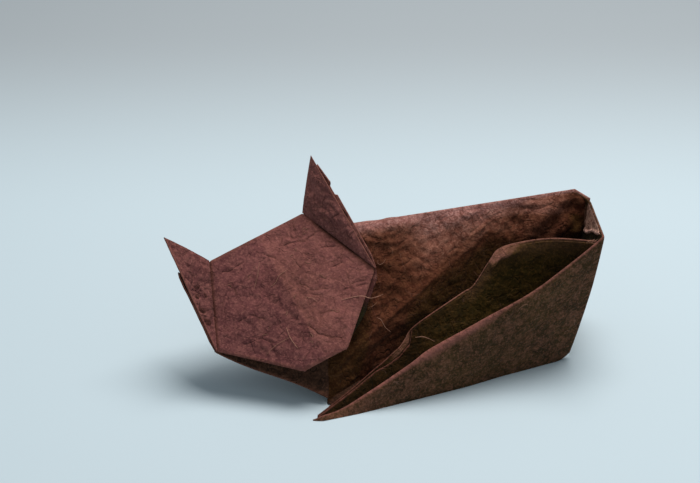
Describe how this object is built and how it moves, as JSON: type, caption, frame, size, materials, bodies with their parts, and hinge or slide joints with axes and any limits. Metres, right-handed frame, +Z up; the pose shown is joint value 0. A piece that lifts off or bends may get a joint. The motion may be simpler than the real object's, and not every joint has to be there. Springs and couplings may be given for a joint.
{
  "type": "origami cat",
  "caption": "Origami cat lying down, folded from a sheet of dark brown handmade paper, with a flat face, pointed ears, a tent-shaped body and a tail folded forward as a long pocket.",
  "frame": {"origin": "middle of the box round the cat, at the height of the table it stands on", "axes": "+X along the cat from its head to its rear, +Y from the tail's side to the far side, +Z up"},
  "size_m": [0.0971, 0.0448, 0.0458],
  "materials": {
    "paper": "matte handmade paper, dark brown, crumpled and flecked with fibres"
  },
  "bodies": {
    "root": {"paper_cat": "paper"}
  },
  "joints": []
}
